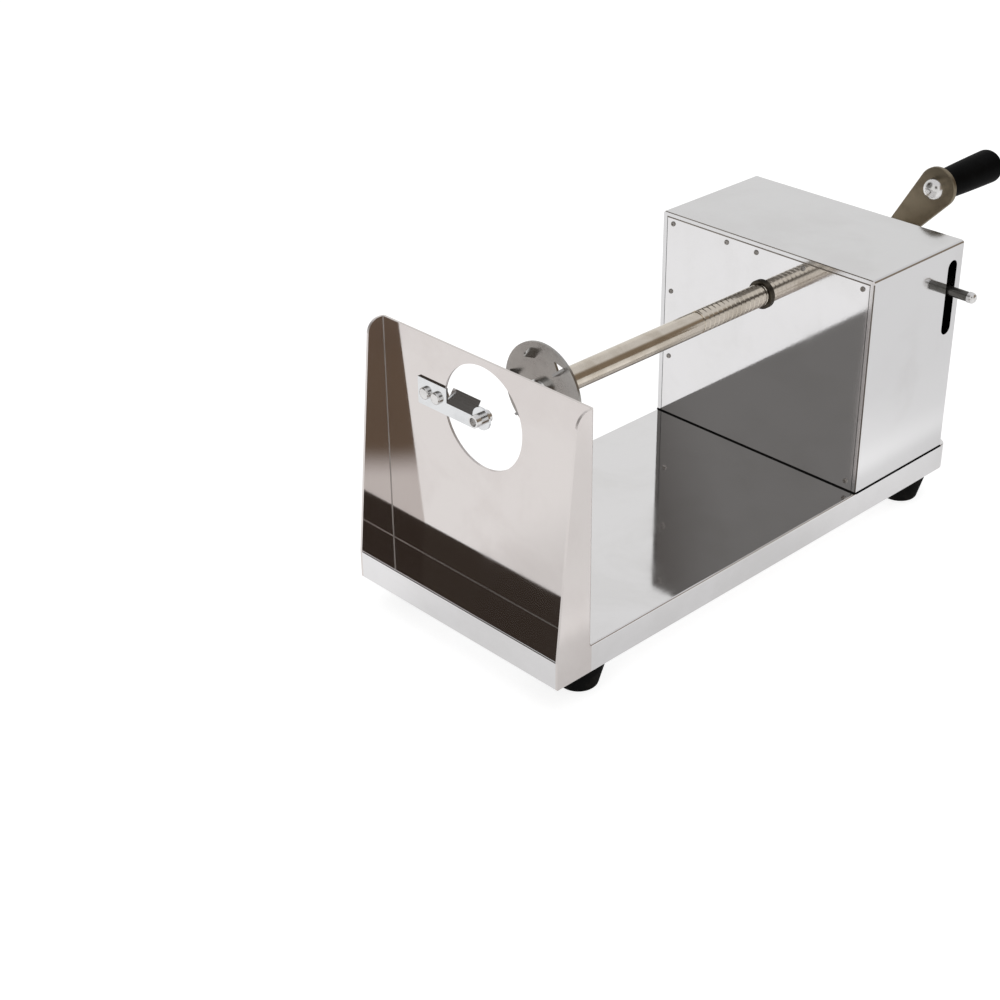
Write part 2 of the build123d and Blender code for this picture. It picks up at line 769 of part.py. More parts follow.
with BuildPart() as crank_nut:
    with BuildSketch(front_view(crank_back_y, z=axis_z)):
        RegularPolygon(crank_nut_radius, 6)
    extrude(amount=-crank_nut_height)
    with BuildSketch(front_view(crank_back_y + crank_nut_height, z=axis_z)):
        Circle(crank_dome_radius)
    extrude(amount=-crank_dome_height)
    fillet(crank_nut.edges().group_by(Axis.Y)[-1], crank_dome_height * dome_share)
    with BuildSketch(front_view(crank_back_y, z=axis_z)):
        Circle(crank_spigot_radius + push_fit)
    extrude(amount=-(crank_nut_height + side_play), mode=Mode.SUBTRACT)
finish(crank_nut, "crank_nut")

# ------------------------------------------------------------------ grip
recess_y = grip_y + grip_length - grip_recess_depth
with BuildPart() as grip_bolt:
    with BuildSketch(front_view(crank_y, bolt_x, bolt_z)):
        Circle(grip_head_radius)
    extrude(amount=grip_head_height)
    fillet(grip_bolt.edges().group_by(Axis.Y)[0], grip_head_round)
    with BuildSketch(front_view(crank_y, bolt_x, bolt_z)):
        Circle(grip_bolt_radius)
    extrude(amount=-(recess_y + side_play + grip_nut_height - crank_y))
finish(grip_bolt, "grip_bolt")

with BuildPart() as grip_washer:
    with BuildSketch(front_view(crank_back_y, bolt_x, bolt_z)):
        Circle(grip_washer_radius)
        Circle(grip_bolt_radius + push_fit, mode=Mode.SUBTRACT)
    extrude(amount=-grip_washer_thickness)
finish(grip_washer, "grip_washer")

with BuildPart() as grip:
    with BuildSketch(lathe(grip_y, bolt_x, bolt_z)):
        with BuildLine():
            Spline(
                (0, grip_front_radius), (grip_belly_place, grip_belly_radius), (grip_length, grip_rear_radius)
            )
            Polyline((grip_length, grip_rear_radius), (grip_length, 0), (0, 0), (0, grip_front_radius))
        make_face()
    revolve(axis=along_y(bolt_x, bolt_z))
    fillet(grip.edges().group_by(Axis.Y)[0], grip_front_round)
    fillet(grip.edges().group_by(Axis.Y)[-1], grip_end_round)
    with BuildSketch(front_view(grip_y, bolt_x, bolt_z)):
        Circle(grip_bolt_radius + running_fit)
    extrude(amount=-grip_length, mode=Mode.SUBTRACT)
    with BuildSketch(front_view(recess_y, bolt_x, bolt_z)):
        Circle(grip_recess_radius)
    extrude(amount=-grip_recess_depth, mode=Mode.SUBTRACT)
finish(grip, "grip")

with BuildPart() as grip_nut:
    with BuildSketch(front_view(recess_y + side_play, bolt_x, bolt_z)):
        RegularPolygon(grip_nut_radius, 6)
        Circle(grip_bolt_radius + push_fit, mode=Mode.SUBTRACT)
    extrude(amount=-grip_nut_height)
finish(grip_nut, "grip_nut")

# ------------------------------------------------------------------ half-nut release
# The arm hangs on a pivot left of the shaft, dips below it and comes up on the right,
# where the lever screws into its end.  Pressing the lever drops the half-nut.
arm_front_y = arm_y - arm_thickness / 2
arm_back_y = arm_y + arm_thickness / 2
with BuildPart() as half_nut_arm:
    with BuildSketch(front_view(arm_front_y, z=axis_z)):
        with BuildLine():
            Polyline(
                (-pivot_offset, pivot_eye_radius),
                (-arm_shoulder, pivot_eye_radius),
                (-arm_bed_half_width, -arm_bed),
                (arm_bed_half_width, -arm_bed),
                (arm_shoulder, lever_rise + arm_end_half_height),
                (arm_reach, lever_rise + arm_end_half_height),
                (arm_reach, lever_rise - arm_end_half_height),
                (arm_shoulder, -arm_drop),
                (-arm_shoulder, -arm_drop),
                (-pivot_offset, -pivot_eye_radius),
                close=True,
            )
        outline = make_face()
        fillet(
            outline.vertices().filter_by(lambda vertex: abs(vertex.X + pivot_offset) > sheet),
            arm_corner_radius,
        )
        with Locations((-pivot_offset, 0)):
            Circle(pivot_eye_radius)
            Circle(pivot_radius + running_fit, mode=Mode.SUBTRACT)
    extrude(amount=-arm_thickness)
    with BuildSketch(Plane.YZ.offset(mid_x + arm_reach)):
        with Locations((arm_y, lever_z)):
            Circle(lever_stub_radius + push_fit)
    extrude(amount=-(lever_stub_length + side_play), mode=Mode.SUBTRACT)
    with BuildSketch(front_view(arm_front_y, z=axis_z - half_nut_screw_height)):
        with Locations((-half_nut_screw_offset, 0), (half_nut_screw_offset, 0)):
            Circle(half_nut_screw_radius + push_fit)
    extrude(amount=-(half_nut_screw_grip + side_play), mode=Mode.SUBTRACT)
finish(half_nut_arm, "half_nut_arm")

half_nut_y = arm_front_y - half_nut_length
with BuildPart() as half_nut:
    with BuildSketch(front_view(half_nut_y, z=axis_z)):
        block = Rectangle(2 * half_nut_half_width, arm_drop, align=(Align.CENTER, Align.MAX))
        fillet(block.vertices().group_by(Axis.Y)[0], half_nut_corner_radius)
        Circle(shaft_radius + running_fit, mode=Mode.SUBTRACT)
        with Locations((-half_nut_screw_offset, -half_nut_screw_height)):
            Circle(half_nut_screw_radius + push_fit, mode=Mode.SUBTRACT)
        with Locations((half_nut_screw_offset, -half_nut_screw_height)):
            Circle(half_nut_screw_radius + push_fit, mode=Mode.SUBTRACT)
    extrude(amount=-half_nut_length)
finish(half_nut, "half_nut")

with BuildPart() as half_nut_screws:
    with BuildSketch(front_view(half_nut_y, z=axis_z - half_nut_screw_height)):
        with Locations((-half_nut_screw_offset, 0), (half_nut_screw_offset, 0)):
            Circle(half_nut_screw_head_radius)
    extrude(amount=half_nut_screw_head_height)
    with BuildSketch(front_view(half_nut_y, z=axis_z - half_nut_screw_height)):
        with Locations((-half_nut_screw_offset, 0), (half_nut_screw_offset, 0)):
            Circle(half_nut_screw_radius)
    extrude(amount=-(half_nut_length + half_nut_screw_grip))
finish(half_nut_screws, "half_nut_screws")

spring_length = spring_turns * spring_pitch
spring_space = spring_length + 2 * (spring_wire_radius + spring_end_gap)
pivot_head_y = arm_front_y - spring_space
with BuildPart() as pivot_bolt:
    with BuildSketch(front_view(pivot_head_y, pivot_x, axis_z)):
        RegularPolygon(pivot_head_radius, 6)
    extrude(amount=pivot_head_height)
    with BuildSketch(front_view(pivot_head_y, pivot_x, axis_z)):
        Circle(pivot_radius)
    extrude(amount=-(box_back_y + pivot_nut_height + pivot_overrun - pivot_head_y))
finish(pivot_bolt, "pivot_bolt")

with BuildPart() as pivot_spacer:
    with BuildSketch(front_view(box_back_y - sheet, pivot_x, axis_z)):
        Circle(pivot_head_radius)
        Circle(pivot_radius + push_fit, mode=Mode.SUBTRACT)
    extrude(amount=box_back_y - sheet - arm_back_y)
finish(pivot_spacer, "pivot_spacer")

with BuildPart() as pivot_nut:
    with BuildSketch(front_view(box_back_y, pivot_x, axis_z)):
        RegularPolygon(pivot_nut_radius, 6)
        Circle(pivot_radius + push_fit, mode=Mode.SUBTRACT)
    extrude(amount=-pivot_nut_height)
finish(pivot_nut, "pivot_nut")

# Torsion spring wound round the pivot bolt between its head and the arm.
spring_start = (pivot_x, pivot_head_y + spring_end_gap + spring_wire_radius, axis_z)
with BuildPart() as return_spring:
    with BuildLine():
        coil = Helix(spring_pitch, spring_length, spring_radius, center=spring_start, direction=(0, 1, 0))
    with BuildSketch(Plane(origin=coil @ 0, z_dir=coil % 0)):
        Circle(spring_wire_radius)
    sweep()
finish(return_spring, "return_spring")
print("least gap between spring turns", round(spring_pitch - 2 * spring_wire_radius, 2), "mm")

# ------------------------------------------------------------------ release lever
lever_x = mid_x + arm_reach
with BuildPart() as lever_rod:
    with BuildSketch(Plane.YZ.offset(lever_x)):
        with Locations((arm_y, lever_z)):
            Circle(lever_radius)
    extrude(amount=half_width + lever_overhang - arm_reach)
    with BuildSketch(Plane.YZ.offset(lever_x)):
        with Locations((arm_y, lever_z)):
            Circle(lever_stub_radius)
    extrude(amount=-lever_stub_length)
    with BuildSketch(Plane.YZ.offset(mid_x + half_width + lever_overhang)):
        with Locations((arm_y, lever_z)):
            Circle(tip_stub_radius)
    extrude(amount=tip_stub_length - side_play)
finish(lever_rod, "lever_rod")

with BuildPart() as lever_tip:
    with BuildSketch(Plane.YZ.offset(mid_x + half_width + lever_overhang)):
        with Locations((arm_y, lever_z)):
            Circle(tip_radius)
    extrude(amount=tip_length)
    fillet(lever_tip.edges().group_by(Axis.X)[-1], tip_radius * 0.8)
    with BuildSketch(Plane.YZ.offset(mid_x + half_width + lever_overhang)):
        with Locations((arm_y, lever_z)):
            Circle(tip_stub_radius + push_fit)
    extrude(amount=tip_stub_length, mode=Mode.SUBTRACT)
finish(lever_tip, "lever_tip")
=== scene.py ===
# %% [markdown]
# # Hand cranked spiral slicer
# The CAD model is the frame of this scene: every plate, bolt and bush is already in
# its place.  Blender adds what a CAD solid can't say, such as the thread, the screw
# recesses, the polish on the sheet and the light that the polish reflects.
# Loading the frame comes first.

# %% Load the frame
import bmesh
import bpy
from math import cos, pi, radians, sin, tau
from mathutils import Matrix, Vector


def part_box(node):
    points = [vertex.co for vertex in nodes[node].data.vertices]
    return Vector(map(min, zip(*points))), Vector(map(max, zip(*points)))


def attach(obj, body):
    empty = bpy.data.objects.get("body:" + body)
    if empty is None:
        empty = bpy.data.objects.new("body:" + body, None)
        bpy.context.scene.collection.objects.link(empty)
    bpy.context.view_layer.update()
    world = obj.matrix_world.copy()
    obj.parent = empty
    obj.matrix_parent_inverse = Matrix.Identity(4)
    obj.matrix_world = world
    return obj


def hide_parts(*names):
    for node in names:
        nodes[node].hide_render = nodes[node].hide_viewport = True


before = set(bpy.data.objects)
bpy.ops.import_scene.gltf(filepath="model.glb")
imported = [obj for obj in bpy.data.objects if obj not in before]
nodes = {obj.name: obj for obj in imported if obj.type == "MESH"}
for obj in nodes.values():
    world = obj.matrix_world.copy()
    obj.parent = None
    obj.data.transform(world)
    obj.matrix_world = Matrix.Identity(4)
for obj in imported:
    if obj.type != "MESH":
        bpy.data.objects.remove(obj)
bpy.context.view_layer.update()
MM = 0.001

# %% [markdown]
# The photograph was taken from the front right, a little over half a metre above the
# table.  The camera could be turned with a Track To constraint, but a fixed place and a
# fixed turn repeat the photograph's perspective exactly, also its slight roll.

# %% Camera
camera_data = bpy.data.cameras.new("photo_camera")
camera_data.sensor_width = 36
camera_data.lens = 65.92
camera = bpy.data.objects.new("photo_camera", camera_data)
camera.location = (0.623, -0.7751, 0.5834)
camera.rotation_euler = (radians(60.137), radians(0.758), radians(46.473))
bpy.context.scene.collection.objects.link(camera)
bpy.context.scene.camera = camera
bpy.context.scene.view_settings.view_transform = "Standard"
print("camera at", tuple(round(c, 3) for c in camera.location))

# %% [markdown]
# Polished sheet shows nothing but what stands round it, so the light is planned by its
# reflections.  The room is white at the horizon, pale grey overhead and dark on the
# left in front, where a studio would hang a grey cloth with a black one on it.
# A brown cloth behind on the right shows in the round bars and in the box's bends as a
# dark stripe.  The inner corner of the blade stand throws the view straight back, so
# there is also a dark patch where the camera stands.  Cloths could be planes that stand
# round the machine, but the world's own colour, read by direction, needs no objects.

# %% World
def add(tree, kind, place=(0, 0), **settings):
    """One node, with its settings, and its inputs where a name starts with in_."""
    node = tree.nodes.new(kind)
    node.location = place
    for name, value in settings.items():
        if name.startswith("in_"):
            node.inputs[int(name[3:])].default_value = value
        else:
            setattr(node, name, value)
    return node


def soft_step(tree, value, start, end, low=0.0, high=1.0):
    """A soft step from low to high while a value goes from start to end."""
    step = add(tree, "ShaderNodeMapRange", interpolation_type="SMOOTHSTEP")
    step.inputs["From Min"].default_value = start
    step.inputs["From Max"].default_value = end
    step.inputs["To Min"].default_value = low
    step.inputs["To Max"].default_value = high
    tree.links.new(value, step.inputs["Value"])
    return step.outputs["Result"]


def direction_mask(tree, towards, inner, outer):
    """White within inner degrees of a direction, black beyond outer degrees."""
    look = add(tree, "ShaderNodeTexCoord")
    along = add(tree, "ShaderNodeVectorMath", operation="DOT_PRODUCT")
    along.inputs[1].default_value = Vector(towards).normalized()
    tree.links.new(look.outputs["Generated"], along.inputs[0])
    return soft_step(tree, along.outputs["Value"], cos(radians(outer)), cos(radians(inner)))


def over(tree, mask, colour, below):
    """A colour laid over what is below it, where the mask is white."""
    mix = add(tree, "ShaderNodeMix", data_type="RGBA")
    tree.links.new(mask, mix.inputs["Factor"])
    mix.inputs["B"].default_value = (*colour, 1)
    if isinstance(below, tuple):
        mix.inputs["A"].default_value = (*below, 1)
    else:
        tree.links.new(below, mix.inputs["A"])
    return mix.outputs["Result"]


white_wall = (0.78, 0.78, 0.775)
pale_ceiling = (0.69, 0.69, 0.705)
grey_cloth = (0.19, 0.186, 0.18)
black_cloth = (0.045, 0.035, 0.028)
brown_cloth = (0.23, 0.185, 0.14)
hangings = [  # where it hangs, the degrees of its full and its faded edge, and its colour
    ((0.0, 0.15, 1.0), 40, 54, pale_ceiling),
    ((0.76, 0.60, 0.12), 26, 44, brown_cloth),
    ((-0.62, -0.66, 0.48), 28, 36, grey_cloth),
    ((-0.76, -0.47, 0.56), 12, 17, black_cloth),
    ((0.62, -0.60, 0.50), 10, 18, black_cloth),
]

world = bpy.data.worlds.new("studio")
bpy.context.scene.world = world
world.use_nodes = True
room = world.node_tree
room.nodes.clear()
sky = white_wall
for towards, inner, outer, colour in hangings:
    sky = over(room, direction_mask(room, towards, inner, outer), colour, sky)
rays = add(room, "ShaderNodeLightPath")
to_camera = over(room, rays.outputs["Is Camera Ray"], (1, 1, 1), sky)
backdrop = add(room, "ShaderNodeBackground")
room.links.new(to_camera, backdrop.inputs["Color"])
room_output = add(room, "ShaderNodeOutputWorld")
room.links.new(backdrop.outputs["Background"], room_output.inputs["Surface"])
print("world nodes:", len(room.nodes))

# %% [markdown]
# The table is one large plain square.

# %% Table
table_half = 6.0
bm = bmesh.new()
bmesh.ops.create_grid(bm, x_segments=1, y_segments=1, size=table_half)
floor_mesh = bpy.data.meshes.new("floor")
bm.to_mesh(floor_mesh)
bm.free()
floor = bpy.data.objects.new("floor", floor_mesh)
bpy.context.scene.collection.objects.link(floor)
print("table:", 2 * table_half, "metres square")

# %% [markdown]
# A white diffuse table would turn grey away from the lamps, so part of its white is
# emission: the camera sees it white, and the machine still lays its soft shadow on it.
# The steel sees another table.  The upright sheets mirror the ground beside the machine,
# so sheets of card seem to lie there, and each share of brightness below belongs to
# one stretch across the table or one along it.

# %% Table finish
floor_finish = bpy.data.materials.new("pale_table")
floor_finish.use_nodes = True
table = floor_finish.node_tree
table.nodes.clear()
where = add(table, "ShaderNodeTexCoord")
split = add(table, "ShaderNodeSeparateXYZ")
table.links.new(where.outputs["Object"], split.inputs[0])

card_low_x, card_high_x = -0.20, 0.40
card_shares = [  # place across the table in metres, brightness
    (-0.10, 0.77), (-0.04, 0.64), (0.06, 0.64), (0.09, 0.50), (0.113, 0.54), (0.128, 0.74),
    (0.15, 0.66), (0.19, 0.63), (0.30, 0.64),
]
across = add(table, "ShaderNodeMapRange")
across.inputs["From Min"].default_value = card_low_x
across.inputs["From Max"].default_value = card_high_x
table.links.new(split.outputs["X"], across.inputs["Value"])
card = add(table, "ShaderNodeValToRGB")
card.color_ramp.interpolation = "EASE"
card_stops = card.color_ramp.elements
for count, (card_x, share) in enumerate(card_shares):
    at = (card_x - card_low_x) / (card_high_x - card_low_x)
    stop = card_stops[0] if count == 0 else card_stops.new(at)
    stop.position = at
    stop.color = (share, share, share, 1)
card_stops.remove(card_stops[-1])
table.links.new(across.outputs["Result"], card.inputs["Fac"])

dim_share = 0.78
bright_from, brightest, bright_to = -0.02, 0.08, 0.24
front_step = soft_step(table, split.outputs["Y"], bright_from, brightest, dim_share, 1.0)
rear_step = soft_step(table, split.outputs["Y"], brightest, bright_to, 1.0, dim_share)
along = add(table, "ShaderNodeMath", operation="MULTIPLY")
table.links.new(front_step, along.inputs[0])
table.links.new(rear_step, along.inputs[1])
reflected = add(table, "ShaderNodeMath", operation="MULTIPLY")
table.links.new(card.outputs["Color"], reflected.inputs[0])
table.links.new(along.outputs[0], reflected.inputs[1])
print("cards:", len(card_shares))

# %% [markdown]
# The camera sees none of the cards: Light Path's Is Camera Ray puts an even white in
# their place.  One dark round cloth lies in front on the right, seen only by the
# ledge of the blade stand, and a Mix Shader lays it over the rest in the same way.

# %% Table seen and mirrored
seen_white = 0.82
paper_grey = (0.40, 0.40, 0.40, 1)
dark_cloth = (0.16, 0.12, 0.088, 1)
cloth_centre = (0.14, -0.39, 0.0)
cloth_radius, cloth_edge = 0.12, 0.17

light_path = add(table, "ShaderNodeLightPath")
seen = add(table, "ShaderNodeMix", data_type="FLOAT")
seen.inputs["B"].default_value = seen_white
table.links.new(light_path.outputs["Is Camera Ray"], seen.inputs["Factor"])
table.links.new(reflected.outputs[0], seen.inputs["A"])
paper = add(table, "ShaderNodeBsdfDiffuse", in_0=paper_grey)
glow = add(table, "ShaderNodeEmission", in_0=(1, 1, 1, 1))
table.links.new(seen.outputs["Result"], glow.inputs["Strength"])
both = add(table, "ShaderNodeAddShader")
table.links.new(paper.outputs[0], both.inputs[0])
table.links.new(glow.outputs[0], both.inputs[1])

cloth_distance = add(table, "ShaderNodeVectorMath", operation="DISTANCE")
cloth_distance.inputs[1].default_value = cloth_centre
table.links.new(where.outputs["Object"], cloth_distance.inputs[0])
bare = soft_step(table, cloth_distance.outputs["Value"], cloth_radius, cloth_edge)
cloth = add(table, "ShaderNodeEmission", in_0=dark_cloth, in_1=1.0)
bare_or_seen = add(table, "ShaderNodeMath", operation="MAXIMUM")
table.links.new(bare, bare_or_seen.inputs[0])
table.links.new(light_path.outputs["Is Camera Ray"], bare_or_seen.inputs[1])
covered = add(table, "ShaderNodeMixShader")
table.links.new(bare_or_seen.outputs[0], covered.inputs["Fac"])
table.links.new(cloth.outputs[0], covered.inputs[1])
table.links.new(both.outputs[0], covered.inputs[2])
table_output = add(table, "ShaderNodeOutputMaterial")
table.links.new(covered.outputs[0], table_output.inputs["Surface"])
floor_mesh.materials.append(floor_finish)
print("table nodes:", len(table.nodes))

# %% [markdown]
# Two large softboxes give the matt parts their shape and the table its soft shadow.  An
# area lamp is also a bright square in a mirror, where it would burn out to white, so
# both lamps are hidden from glossy rays and the steel sees the room alone.

# %% Lamps
machine_middle = (0, 0, 0.05)


def softbox(name, place, size, power):
    """A square area lamp that looks at the middle of the machine."""
    lamp_data = bpy.data.lights.new(name, "AREA")
    lamp_data.size = size
    lamp_data.energy = power
    lamp = bpy.data.objects.new(name, lamp_data)
    lamp.location = place
    lamp.visible_glossy = False
    aim = Vector(machine_middle) - Vector(place)
    lamp.rotation_euler = aim.to_track_quat("-Z", "Y").to_euler()
    bpy.context.scene.collection.objects.link(lamp)
    return lamp


softbox("key_light", place=(0.9, -0.5, 1.5), size=1.4, power=4)
softbox("fill_light", place=(-0.3, 0.45, 1.7), size=1.25, power=3)

# %% [markdown]
# Every steel here has fine marks in it: polished sheet has faint lines from the mop, a
# turned shaft has rings, a brushed cover has long straight grain.  They are one effect at
# several sizes, so it is built once as a node group: noise that is stretched along one
# direction and put out as a roughness and as a height for a Bump node.

# %% Shared effect: fine marks
def group(name, inputs, outputs):
    """A new shader node group with its sockets, and its two end nodes."""
    tree = bpy.data.node_groups.new(name, "ShaderNodeTree")
    for label, kind, value in inputs:
        socket = tree.interface.new_socket(label, in_out="INPUT", socket_type=kind)
        if value is not None:
            socket.default_value = value
    for label, kind in outputs:
        tree.interface.new_socket(label, in_out="OUTPUT", socket_type=kind)
    return tree, add(tree, "NodeGroupInput"), add(tree, "NodeGroupOutput")


fine_marks, marks_in, marks_out = group(
    "fine_marks",
    [
        ("Vector", "NodeSocketVector", None),
        ("Roughness", "NodeSocketFloat", 0.15),
        ("Spread", "NodeSocketFloat", 0.06),
    ],
    [("Roughness", "NodeSocketFloat"), ("Height", "NodeSocketFloat")],
)
hair = add(fine_marks, "ShaderNodeTexNoise")
hair.inputs["Scale"].default_value = 1.0
hair.inputs["Detail"].default_value = 4.0
hair.inputs["Roughness"].default_value = 0.65
fine_marks.links.new(marks_in.outputs["Vector"], hair.inputs["Vector"])
noise_middle = 0.5
smoothest = 0.02
centred = add(fine_marks, "ShaderNodeMath", operation="SUBTRACT", in_1=noise_middle)
fine_marks.links.new(hair.outputs["Fac"], centred.inputs[0])
spread = add(fine_marks, "ShaderNodeMath", operation="MULTIPLY_ADD")
fine_marks.links.new(centred.outputs[0], spread.inputs[0])
fine_marks.links.new(marks_in.outputs["Spread"], spread.inputs[1])
fine_marks.links.new(marks_in.outputs["Roughness"], spread.inputs[2])
at_least = add(fine_marks, "ShaderNodeMath", operation="MAXIMUM", in_1=smoothest)
fine_marks.links.new(spread.outputs[0], at_least.inputs[0])
fine_marks.links.new(at_least.outputs[0], marks_out.inputs["Roughness"])
fine_marks.links.new(hair.outputs["Fac"], marks_out.inputs["Height"])
print("fine marks nodes:", len(fine_marks.nodes))

# %% [markdown]
# Hands leave faint smears on polished steel.  A second group makes soft clouds, and it
# puts them out twice: as a mask, with which the metals dull their polish a little, and
# as a colour that lies between a clean one and a touched one.  An image could hold
# such smears too, but noise has no seams and no edge to run out at.

# %% Shared effect: smears
smears, smears_in, smears_out = group(
    "smears",
    [
        ("Vector", "NodeSocketVector", None),
        ("Scale", "NodeSocketFloat", 18.0),
        ("Clean", "NodeSocketColor", (0.8, 0.8, 0.8, 1)),
        ("Touched", "NodeSocketColor", (0.76, 0.75, 0.74, 1)),
    ],
    [("Color", "NodeSocketColor"), ("Mask", "NodeSocketFloat")],
)
cloud = add(smears, "ShaderNodeTexNoise")
cloud.inputs["Detail"].default_value = 5.0
cloud.inputs["Roughness"].default_value = 0.6
cloud.inputs["Distortion"].default_value = 0.4
smears.links.new(smears_in.outputs["Vector"], cloud.inputs["Vector"])
smears.links.new(smears_in.outputs["Scale"], cloud.inputs["Scale"])
clean_below, touched_above = 0.42, 0.68
patches = soft_step(smears, cloud.outputs["Fac"], clean_below, touched_above)
tint = add(smears, "ShaderNodeMix", data_type="RGBA")
smears.links.new(patches, tint.inputs["Factor"])
smears.links.new(smears_in.outputs["Clean"], tint.inputs["A"])
smears.links.new(smears_in.outputs["Touched"], tint.inputs["B"])
smears.links.new(tint.outputs["Result"], smears_out.inputs["Color"])
smears.links.new(patches, smears_out.inputs["Mask"])
print("smears nodes:", len(smears.nodes))

# %% [markdown]
# The mop polishes the flat faces of a sheet and leaves its cut edges dull.  All flat faces
# of the folded stand look along X, Y or Z, so a face that looks anywhere else belongs to a
# cut edge: the rim of the cutting hole or the rounded corner of a gusset.

# %% Shared effect: raw cut edges
raw_edge, edge_in, edge_out = group(
    "raw_edge", [("Normal", "NodeSocketVector", None)], [("Mask", "NodeSocketFloat")]
)
unsigned = add(raw_edge, "ShaderNodeVectorMath", operation="ABSOLUTE")
raw_edge.links.new(edge_in.outputs["Normal"], unsigned.inputs[0])
shares = add(raw_edge, "ShaderNodeSeparateXYZ")
raw_edge.links.new(unsigned.outputs[0], shares.inputs[0])
larger = add(raw_edge, "ShaderNodeMath", operation="MAXIMUM")
raw_edge.links.new(shares.outputs["X"], larger.inputs[0])
raw_edge.links.new(shares.outputs["Y"], larger.inputs[1])
largest = add(raw_edge, "ShaderNodeMath", operation="MAXIMUM")
raw_edge.links.new(larger.outputs[0], largest.inputs[0])
raw_edge.links.new(shares.outputs["Z"], largest.inputs[1])
square_on, slanting = 0.999, 0.990
slant = add(raw_edge, "ShaderNodeMapRange")
slant.inputs["From Min"].default_value = square_on
slant.inputs["From Max"].default_value = slanting
raw_edge.links.new(largest.outputs[0], slant.inputs["Value"])
raw_edge.links.new(slant.outputs["Result"], edge_out.inputs["Mask"])
print("raw edge nodes:", len(raw_edge.nodes))

# %% [markdown]
# One recipe serves all the metals: smeared colour, marks stretched along a direction,
# and a Bump node.  Only the numbers differ.  A stretch of (900, 900, 14) means marks that
# run along Z, 900 to the metre across and 14 along.  A raw edge's roughness is given
# only where a sheet shows its cut edges.

# %% Metals
smear_dulling = 0.035
metal_relief = 0.2 * MM


def metal(name, clean, touched, roughness, spread_by, stretch, bump, smear_scale=18.0, edge=0.0):
    """A metal: its clean and its touched colour, its polish and the lie of its marks."""
    material = bpy.data.materials.new(name)
    material.use_nodes = True
    tree = material.node_tree
    shader = tree.nodes["Principled BSDF"]
    shader.inputs["Metallic"].default_value = 1.0
    place = add(tree, "ShaderNodeTexCoord", (-1000, 0))
    mapping = add(tree, "ShaderNodeMapping", (-800, -150))
    mapping.inputs["Scale"].default_value = stretch
    tree.links.new(place.outputs["Object"], mapping.inputs["Vector"])
    marks = add(tree, "ShaderNodeGroup", (-600, -150), node_tree=fine_marks)
    marks.inputs["Roughness"].default_value = roughness
    marks.inputs["Spread"].default_value = spread_by
    tree.links.new(mapping.outputs["Vector"], marks.inputs["Vector"])
    touch = add(tree, "ShaderNodeGroup", (-600, 150), node_tree=smears)
    touch.inputs["Scale"].default_value = smear_scale
    touch.inputs["Clean"].default_value = (*clean, 1)
    touch.inputs["Touched"].default_value = (*touched, 1)
    tree.links.new(place.outputs["Object"], touch.inputs["Vector"])
    dull = add(tree, "ShaderNodeMath", (-350, 0), operation="MULTIPLY_ADD", in_1=smear_dulling)
    tree.links.new(touch.outputs["Mask"], dull.inputs[0])
    tree.links.new(marks.outputs["Roughness"], dull.inputs[2])
    relief = add(tree, "ShaderNodeBump", (-350, -250))
    relief.inputs["Strength"].default_value = bump
    relief.inputs["Distance"].default_value = metal_relief
    tree.links.new(marks.outputs["Height"], relief.inputs["Height"])
    tree.links.new(touch.outputs["Color"], shader.inputs["Base Color"])
    tree.links.new(relief.outputs["Normal"], shader.inputs["Normal"])
    if edge:
        edge_mask = add(tree, "ShaderNodeGroup", (-600, -400), node_tree=raw_edge)
        tree.links.new(place.outputs["Normal"], edge_mask.inputs["Normal"])
        raw = add(tree, "ShaderNodeMath", (-350, 150), operation="MULTIPLY", in_1=edge)
        tree.links.new(edge_mask.outputs["Mask"], raw.inputs[0])
        duller = add(tree, "ShaderNodeMath", (-150, 0), operation="MAXIMUM")
        tree.links.new(dull.outputs[0], duller.inputs[0])
        tree.links.new(raw.outputs[0], duller.inputs[1])
        tree.links.new(duller.outputs[0], shader.inputs["Roughness"])
    else:
        tree.links.new(dull.outputs[0], shader.inputs["Roughness"])
    return material


polished_sheet = metal(
    "polished_sheet", (0.86, 0.85, 0.855), (0.82, 0.81, 0.81), 0.045, 0.03, (700, 25, 700), 0.02
)
stand_sheet = metal(
    "stand_sheet", (0.79, 0.745, 0.725), (0.75, 0.70, 0.68), 0.06, 0.04, (25, 700, 700), 0.02, edge=0.5
)
cover_sheet = metal(
    "cover_sheet", (0.785, 0.78, 0.785), (0.75, 0.742, 0.745), 0.09, 0.05, (900, 900, 14), 0.03
)
turned_shaft = metal(
    "turned_shaft", (0.74, 0.675, 0.585), (0.64, 0.575, 0.485), 0.16, 0.06, (60, 2400, 60), 0.08, 60.0
)
dark_bar = metal(
    "dark_bar", (0.245, 0.205, 0.145), (0.20, 0.165, 0.115), 0.34, 0.14, (900, 60, 90), 0.10, 70.0
)
nickel = metal(
    "nickel", (0.82, 0.81, 0.80), (0.74, 0.73, 0.72), 0.20, 0.06, (300, 300, 300), 0.03, 90.0
)
screw_steel = metal(
    "screw_steel", (0.36, 0.34, 0.32), (0.26, 0.24, 0.22), 0.30, 0.10, (500, 500, 500), 0.05, 90.0
)
blade_steel = metal(
    "blade_steel", (0.84, 0.85, 0.86), (0.77, 0.78, 0.79), 0.13, 0.08, (40, 1500, 1500), 0.06, 60.0
)
oiled_steel = metal(
    "oiled_steel", (0.075, 0.065, 0.050), (0.05, 0.042, 0.034), 0.32, 0.12, (600, 600, 600), 0.10, 90.0
)
lever_steel = metal(
    "lever_steel", (0.16, 0.155, 0.145), (0.12, 0.115, 0.105), 0.35, 0.12, (500, 60, 500), 0.08, 90.0
)
pressed_steel = metal(
    "pressed_steel", (0.42, 0.41, 0.39), (0.37, 0.355, 0.34), 0.24, 0.06, (500, 500, 500), 0.03, 40.0
)
